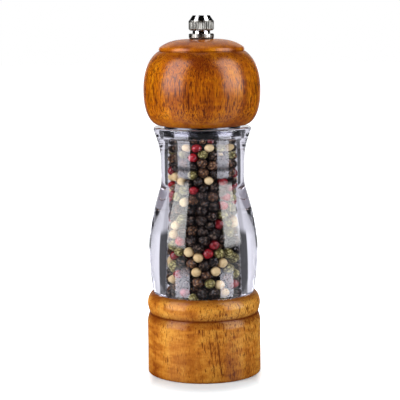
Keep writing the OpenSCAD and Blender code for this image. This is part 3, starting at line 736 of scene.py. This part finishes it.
def packCorns():
    # front corns at their places, a column at either side, loose ones between, a throat and a crown
    p = pepper
    rng = np.random.default_rng(p["seed"])
    pinned, kinds = [], []
    for kind, spots in frontCorns.items():
        for across, down in spots:
            pinned.append(atWall(*onWall(across, down), p["frontR"].get(kind, p["commonR"])))
            kinds.append(kind)
    front = len(pinned)
    rows = np.arange(p["sideFrom"], p["sideTo"], p["sideStep"])
    for side in (-1, 1):
        for i, height in enumerate(rows):
            bent = side * math.radians(p["sideBearing"] + p["sideSwing"] * (-1) ** i)
            pinned.append(atWall(bent, height, p["sideR"]))
    kinds += drawKinds(rng, 2 * len(rows))
    pinned = np.array(pinned)
    placed = len(pinned)
    count = p["count"] - placed
    height = rng.uniform(p["floor"] + p["startLift"], p["roof"] - p["startLift"], count)
    turn = rng.uniform(0, 2 * np.pi, count)
    reach = np.sqrt(rng.uniform(p["startReach"] ** 2, (boreRadius(height) - p["startWall"]) ** 2))
    loose = np.stack([reach * np.cos(turn), reach * np.sin(turn), height], -1)
    place = np.concatenate([pinned[:, :3], loose])
    radius = np.concatenate([pinned[:, 3], rng.uniform(p["small"], p["large"], count)])
    free = np.ones((p["count"], 1))
    free[:placed] = p["sideFree"]
    free[:front] = p["frontFree"]
    place = spread(place, radius, free)
    kinds = np.array(kinds + drawKinds(rng, count))
    # the loose corns that face the front are dark, so that the placed ones catch the eye
    facing = np.hypot(place[:, 0], place[:, 1]) * (place[:, 1] < -abs(place[:, 0]) * p["frontTurn"])
    facing[:placed] = 0
    shown = facing > p["frontDepth"]
    kinds[shown] = np.where(rng.uniform(size=shown.sum()) < p["frontBlack"], "black", "brown")
    throat = np.arange(p["throat"])
    layer = throat // p["throatRing"]
    turn = 2 * np.pi * (throat % p["throatRing"] + 0.5 * layer) / p["throatRing"] + np.pi / 2
    lower = ringOf(turn, p["throatReach"], p["throatZ"] + p["throatRise"] * layer)
    crown = np.arange(p["crown"])
    turn = 2 * np.pi * (crown + rng.uniform(-0.1, 0.1, p["crown"])) / p["crown"]
    upper = ringOf(turn, p["crownReach"], p["crownZ"] + rng.uniform(-0.15, 0.25, p["crown"]))
    place = np.concatenate([place, lower, upper])
    radius = np.concatenate([radius, np.full(p["throat"], p["throatR"]), np.full(p["crown"], p["crownR"])])
    lowerKinds = np.array(list(p["share"]))[throat % len(p["share"])]
    upperKinds = np.where(np.isin(drawKinds(rng, p["crown"]), ("brown", "white")), "brown", "black")
    upperKinds[1] = "pink"
    return place, radius, np.concatenate([kinds, lowerKinds, upperKinds]), rng


def ballMesh(steps=3):
    # a cube's faces in even angles, blown up to a unit ball: points and quads
    side = np.tan(np.linspace(-np.pi / 4, np.pi / 4, steps + 1))
    u, v = np.meshgrid(side, side, indexing="ij")
    one = np.ones_like(u)
    plates = [np.stack(c, -1) for c in ((u, v, one), (v, u, -one), (one, u, v), (-one, v, u), (v, one, u),
                                        (u, -one, v))]
    points = np.concatenate([plate.reshape(-1, 3) for plate in plates])
    unique, back = np.unique(np.round(points, 6), axis=0, return_inverse=True)
    row, column = np.meshgrid(np.arange(steps), np.arange(steps), indexing="ij")
    corner = (row * (steps + 1) + column).ravel()
    quad = np.stack([corner, corner + steps + 1, corner + steps + 2, corner + 1], -1)
    quads = np.concatenate([quad + i * (steps + 1) ** 2 for i in range(6)])
    return unique / np.linalg.norm(unique, axis=1)[:, None], back.reshape(-1)[quads]


def pepperFinish(name, look):
    # dark valleys where the cells of a warped pattern meet, partly the husk's own folds and partly painted
    # shade, painted shade where corns touch, pale crests between them that are partly a painted highlight,
    # and a tint corn by corn
    f = newFinish(name)
    spot = f.place()
    tint = f.node("Attribute", {"attribute_name": "tint"}, None, "Fac")
    warp = f.node("TexNoise", None, {"Vector": spot, "Scale": 0.7, "Detail": 2.0}, 1)
    pushed = f.node("VectorMath", {"operation": "MULTIPLY_ADD"}, {0: warp, 1: (1.7, 1.7, 1.7), 2: spot})
    crease = f.node("TexVoronoi", {"feature": "DISTANCE_TO_EDGE"},
                    {"Vector": pushed, "Scale": look["cells"]})
    speck = f.noise(spot, 1.5, 3, 0.65)
    height = f.between(crease, 0.0, look["ridge"]) * 0.72 + speck * 0.5 - 0.1
    dark, light, pale, foldShade = (paint(*tone) for tone in look["tones"])
    body = f.blend(tint, dark, light)
    # pale crests are partly a painted highlight, and dark folds partly painted shade
    crestSheen = f.blend(f.between(height, look["crest"], 0.95) * look["mottle"], body, pale)
    creaseShaded = f.blend((1 - f.between(height, 0.12, 0.55)) * look["crease"], crestSheen, foldShade)
    # painted shade where corns touch
    nook = f.node("Attribute", {"attribute_name": "nook"}, None, "Fac")
    creaseShaded = f.blend(f.between(nook, 0.05, 0.95) * look["nook"], creaseShaded, foldShade)
    rough = look["rough"] + speck * 0.16 - 0.08
    return f.show(f.surface(Base_Color=creaseShaded, Roughness=rough, Specular_IOR_Level=look["shine"],
                            Normal=f.bump(height, look["relief"], 1.0)))


# The tones are the husk at its darkest and lightest, the crests (partly a painted highlight) and the folds
# (partly painted shade)
pepperLooks = {
    "black": {"cells": 0.7, "ridge": 0.32, "crest": 0.6, "nook": 0.96, "mottle": 0.9, "crease": 0.95,
              "rough": 0.30, "relief": 0.6, "shine": 0.3,
              "tones": ((18, 12, 10), (50, 34, 28), (126, 103, 92), (2, 1, 1))},
    "brown": {"cells": 0.75, "ridge": 0.32, "crest": 0.6, "nook": 0.96, "mottle": 0.85, "crease": 0.92,
              "rough": 0.34, "relief": 0.5, "shine": 0.3,
              "tones": ((60, 33, 22), (118, 76, 52), (180, 140, 110), (10, 4, 3))},
    "white": {"cells": 0.45, "ridge": 0.08, "crest": 0.66, "nook": 0.6, "mottle": 0.25, "crease": 0.18,
              "rough": 0.42, "relief": 0.06, "shine": 0.35,
              "tones": ((208, 174, 122), (236, 208, 164), (246, 228, 194), (150, 106, 64))},
    "green": {"cells": 0.7, "ridge": 0.26, "crest": 0.6, "nook": 0.85, "mottle": 0.8, "crease": 0.85,
              "rough": 0.42, "relief": 0.36, "shine": 0.3,
              "tones": ((112, 98, 46), (166, 152, 88), (214, 204, 150), (44, 32, 12))},
    "pink": {"cells": 0.30, "ridge": 0.12, "crest": 0.66, "nook": 0.85, "mottle": 0.3, "crease": 0.45,
             "rough": 0.2, "relief": 0.2, "shine": 0.5,
             "tones": ((104, 3, 12), (172, 14, 30), (204, 64, 74), (40, 1, 4))},
}


def makePepper():
    place, radius, kinds, rng = packCorns()
    ball, quads = ballMesh()
    turn = rng.normal(size=(len(place), 4))
    w, x, y, z = (turn / np.linalg.norm(turn, axis=1)[:, None]).T
    rotation = np.stack([
        np.stack([1 - 2 * (y * y + z * z), 2 * (x * y - w * z), 2 * (x * z + w * y)], -1),
        np.stack([2 * (x * y + w * z), 1 - 2 * (x * x + z * z), 2 * (y * z - w * x)], -1),
        np.stack([2 * (x * z - w * y), 2 * (y * z + w * x), 1 - 2 * (x * x + y * y)], -1)], 1)
    lumps = 1.02 + rng.uniform(-0.035, 0.01, (len(place), len(ball)))
    squat = rng.uniform(0.95, 1.0, (len(place), 1, 3))
    local = ball[None] * lumps[..., None] * squat
    shaped = np.einsum("nij,nvj->nvi", rotation, local) * radius[:, None, None] + place[:, None]
    tints = rng.uniform(0, 1, len(place))
    # a touch shade is painted shade where a point of one corn lies less than the depth from the next: 1 - gap
    # / depth
    flat = shaped.reshape(-1, 3)
    apart = (flat ** 2).sum(1)[:, None] + (place ** 2).sum(1)[None] - 2 * flat @ place.T
    gap = np.sqrt(np.clip(apart, 0, None)) - radius[None]
    gap[np.arange(len(flat)), np.repeat(np.arange(len(place)), len(ball))] = np.inf
    touchShades = np.clip(1 - gap.min(1) / pepper["touchShadeDepth"], 0, 1).reshape(len(place), -1)
    for kind in pepper["share"]:
        chosen = np.flatnonzero(kinds == kind)
        points = shaped[chosen].reshape(-1, 3)
        faces = (quads[None] + np.arange(len(chosen))[:, None, None] * len(ball)).reshape(-1, 4)
        piece = meshPiece(kind + "Pepper", points, faces.tolist(), 180)
        values = {"tint": np.repeat(tints[chosen], len(ball)), "nook": touchShades[chosen].ravel()}
        for label, value in values.items():
            attribute = piece.data.attributes.new(label, "FLOAT", "POINT")
            attribute.data.foreach_set("value", value.astype(np.float32))
        settle(piece, "mill_body", pepperFinish(kind + "Husk", pepperLooks[kind]), kind + "_pepper",
               kind + "_peppercorns")
    print("peppercorns packed:", len(place))


makePepper()

# Metal: turned steel that mirrors the studio, with fine lines round it

def metalFinish(name, metal):
    f = newFinish(name)
    spot = f.place(metal["lines"])
    lines = f.noise(spot, metal["scale"], 3, 0.6)
    cloud = f.noise(f.place(), 0.35, 3, 0.55)
    colour = f.blend(cloud, *(paint(*tone) for tone in metal["tones"]))
    rough = metal["rough"] + (lines - 0.5) * metal["spread"] + (cloud - 0.5) * 0.06
    return f.show(f.surface(Base_Color=colour, Metallic=1.0, Roughness=rough,
                            Normal=f.bump(lines, metal["relief"], 0.6)))


steelLooks = {
    "zincSteel": {"lines": (1, 1, 1), "scale": 2.0, "rough": 0.32, "spread": 0.15, "relief": 0.01,
                  "tones": ((160, 164, 170), (204, 206, 208))},
    "shaftMetal": {"lines": (4, 4, 0.4), "scale": 1.6, "rough": 0.40, "spread": 0.12, "relief": 0.003,
                   "tones": ((176, 178, 182), (210, 211, 213))},
    "plateMetal": {"lines": (1, 6, 1), "scale": 1.2, "rough": 0.30, "spread": 0.2, "relief": 0.01,
                   "tones": ((168, 170, 172), (204, 205, 206))},
    "blackSteel": {"lines": (1, 6, 1), "scale": 1.2, "rough": 0.50, "spread": 0.2, "relief": 0.01,
                   "tones": ((30, 26, 25), (52, 46, 44))},
    "springSteel": {"lines": (1, 1, 1), "scale": 3.0, "rough": 0.24, "spread": 0.1, "relief": 0.004,
                    "tones": ((150, 152, 156), (196, 197, 200))},
}
metals = {name: metalFinish(name, look) for name, look in steelLooks.items()}

nutShape = {
    "foot": 154.7, "flangeTop": 156.8, "barrel": 158.3, "bevel": 162.4, "top": 165.0, "r": 5.75, "neck": 4.05,
    "topR": 4.0, "bore": 2.55, "boreTop": 162.0, "flutes": 30, "fluteDepth": 0.27, "scallop": 0.38,
    "perFlute": 12, "edge": 0.25,
}


def nutFinish():
    # polished bevel and neck, a rougher and darker colour on the fluted barrel, which is painted shade for
    # the hollows between its ridges, and a rougher streaked tone where the flange is turned
    n = nutShape
    f = newFinish("knurledSteel")
    height = f.parts(f.place())[2]
    barrel = f.between(height, n["barrel"] - 0.5, n["barrel"]) * (1 - (height > n["bevel"] + n["scallop"]))
    flange = 1 - (height > n["flangeTop"] - 0.2)
    dull = barrel.most(flange) * (f.reach() > n["neck"] + 0.3)
    lines = f.noise(f.place((1, 1, 8)), 1.5, 3, 0.6)
    cloud = f.noise(f.place((1, 1, 0.2)), 0.9, 3, 0.6)
    milled = f.between(f.noise(f.place((1, 1, 0.05)), 1.3, 3, 0.7), 0.36, 0.64)
    bright = f.blend(cloud, paint(206, 206, 212), paint(228, 228, 230))
    # the barrel's darker tone is painted shade between the ridges
    shadedGrey = f.blend(f.between(cloud, 0.3, 0.7), paint(84, 83, 80), paint(166, 164, 160))
    turned = f.blend(flange, shadedGrey, f.blend(milled, paint(84, 80, 77), paint(206, 203, 199)))
    rough = 0.07 + lines * 0.06 + dull * 0.2
    return f.show(f.surface(Base_Color=f.blend(dull, bright, turned), Metallic=1.0, Roughness=rough,
                            Normal=f.bump(lines, 0.006, 0.6)))


def makeNut():
    # the barrel falls back between its ridges: r = r - d (2u)^2 over a ridge's width, u from -0.5 to 0.5,
    # where d fades out just below the bevel
    n = nutShape
    edge = n["edge"]
    outline = softened([
        (0.02, n["foot"] + 0.4), (n["bore"], n["foot"], 0.1), (n["r"] - edge, n["foot"], 0.05),
        (n["r"], n["foot"] + edge, 0.1), (n["r"], n["flangeTop"] - edge, 0.1),
        (n["r"] - edge, n["flangeTop"], 0.05), (n["neck"], n["flangeTop"], 0.12),
        (n["neck"], n["barrel"] - 0.35, 0.12),
        (n["r"] - 0.55, n["barrel"] - 0.1, 0.1), (n["r"], n["barrel"] + 0.5, 0.25),
        (n["r"], n["bevel"], 0.05), (n["topR"], n["top"], 0.12), (0.02, n["top"])])
    bore = np.array([[0.02, n["boreTop"]], [n["bore"], n["boreTop"]]])
    line = np.concatenate([bore, outline[1:]])
    step = np.concatenate([[0], np.cumsum(np.hypot(*np.diff(line, axis=0).T))])
    dense = np.unique(np.concatenate([step, np.linspace(0, step[-1], 90)]))
    radii, heights = np.interp(dense, step, line[:, 0]), np.interp(dense, step, line[:, 1])
    count = n["flutes"] * n["perFlute"]
    across = (np.arange(count) / n["perFlute"] + 0.5) % 1 - 0.5
    fade = np.clip((n["bevel"] - heights) / n["scallop"], 0, 1)[:, None]
    ridge = n["r"] - n["fluteDepth"] * fade * (2 * across) ** 2
    onBarrel = (heights > n["barrel"] - 0.6)[:, None]
    radii = np.where(onBarrel, np.minimum(radii[:, None], ridge), radii[:, None])
    piece = turnedSolid("knurledNut", radii, heights, count, 28)
    return settle(piece, "finial_nut", nutFinish(), "stainless", "finial_nut")


shaftShape = {"side": 5.5, "corner": 3.72, "squareZ": 9.8, "threadZ": 150.1, "top": 160.1, "threadR": 2.5,
              "pitch": 0.8, "depth": 0.4, "tailR": 2.0, "tailZ": 5.0, "tailPitch": 0.7, "tailDepth": 0.34}


def threadRadius(turn, z, radius, pitch, depth):
    # a right-handed V thread: r falls by depth between crests that climb one pitch a turn
    phase = (z / pitch - turn / (2 * np.pi)) % 1
    return radius - depth * (1 - np.abs(2 * phase - 1))


def makeShaft():
    s = shaftShape
    turn = np.linspace(0, 2 * np.pi, 96, endpoint=False)[None]
    square = np.minimum(s["side"] / 2 / np.maximum(np.abs(np.cos(turn)), np.abs(np.sin(turn))), s["corner"])
    tail = np.linspace(s["tailZ"] + 0.02, s["squareZ"], 60)[:, None]
    tailRadius = threadRadius(turn, tail, s["tailR"], s["tailPitch"], s["tailDepth"])
    tailRadius = np.minimum(tailRadius, s["tailR"] - 0.35 + (tail - s["tailZ"]))
    bar = [s["squareZ"], s["squareZ"] + 0.2, 40, 70, 100, 130, s["threadZ"] - 0.3, s["threadZ"]]
    bar = np.array(bar)[:, None]
    barRadius = square - np.where((bar == s["squareZ"]) | (bar == s["threadZ"]), 0.2, 0)
    screw = np.linspace(s["threadZ"], s["top"] - 0.01, 130)[:, None]
    screwRadius = threadRadius(turn, screw, s["threadR"], s["pitch"], s["depth"])
    screwRadius = np.minimum(screwRadius, s["threadR"] - 0.5 + (s["top"] - screw))
    radii = np.concatenate([tailRadius, barRadius, screwRadius])
    heights = np.concatenate([tail, bar, screw])
    piece = turnedSolid("squareShaft", radii, heights, 96, 30)
    return settle(piece, "rotor", metals["shaftMetal"], "shaft_metal", "drive_shaft")


springShape = {"coil": 4.65, "wire": 0.42, "turns": 4.5, "low": 20.47, "high": 27.48, "deadTurns": 0.75}


def makeSpring():
    # a helix whose end turns lie nearly flat
    s = springShape
    turn = np.linspace(0, s["turns"], 160)
    angle = 2 * np.pi * turn
    lead = 2.1 * s["wire"] * s["deadTurns"]
    rise = np.interp(turn, [0, s["deadTurns"], s["turns"] - s["deadTurns"], s["turns"]],
                     [0, lead, s["high"] - s["low"] - lead, s["high"] - s["low"]])
    path = np.stack([s["coil"] * np.cos(angle), s["coil"] * np.sin(angle), s["low"] + rise], -1)
    piece = sweptWire("grindSpring", path, s["wire"])
    settle(piece, "shaft_bush", metals["springSteel"], "spring_steel", "grind_spring")
    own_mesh(piece)


makeNut()
makeShaft()
makeSpring()
print("nut, shaft and spring made")

# The other parts keep the CAD's shapes

def plainFinish(name, look):
    # moulded or fired surfaces: a faint cloud of tone and a fine grain
    f = newFinish(name)
    spot = f.place()
    cloud = f.noise(spot, 0.25, 3, 0.55)
    grain = f.noise(spot, look["grain"], 3, 0.6)
    share = f.between(cloud * 0.6 + grain * 0.4, 0.35, 0.65)
    colour = f.blend(share, *(paint(*tone) for tone in look["tones"]))
    rough = look["rough"] + (grain - 0.5) * 0.16
    return f.show(f.surface(Base_Color=colour, Roughness=rough, Normal=f.bump(grain, look["relief"], 0.6)))


plainLooks = {
    "blackPlastic": {"grain": 2.5, "rough": 0.42, "relief": 0.02, "tones": ((26, 27, 29), (40, 42, 44))},
    "blackFibre": {"grain": 3.5, "rough": 0.7, "relief": 0.03, "tones": ((28, 25, 23), (48, 44, 40))},
    "nylon": {"grain": 1.5, "rough": 0.4, "relief": 0.008, "tones": ((226, 222, 208), (240, 237, 228))},
    "ceramicWhite": {"grain": 2.0, "rough": 0.3, "relief": 0.01, "tones": ((222, 216, 202), (240, 236, 226))},
}
finishes = {**metals, **{name: plainFinish(name, look) for name, look in plainLooks.items()}}
nodeFinishes = {
    "zincSteel": ("housing_screws", "bridge_screws", "lock_washer", "shaft_lock_nut"),
    "blackSteel": ("driver_plate", "driver_plate_screws"),
    "plateMetal": ("bridge",),
    "blackPlastic": ("stator_housing", "cone_core"),
    "ceramicWhite": ("grinding_ring", "grinding_cone"),
    "blackFibre": ("nut_washer",),
    "nylon": ("shaft_bush",),
}
for finishName, nodeNames in nodeFinishes.items():
    for nodeName in nodeNames:
        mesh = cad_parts[nodeName].data
        mesh.materials.clear()
        mesh.materials.append(finishes[finishName])
print("materials set on the other CAD nodes")
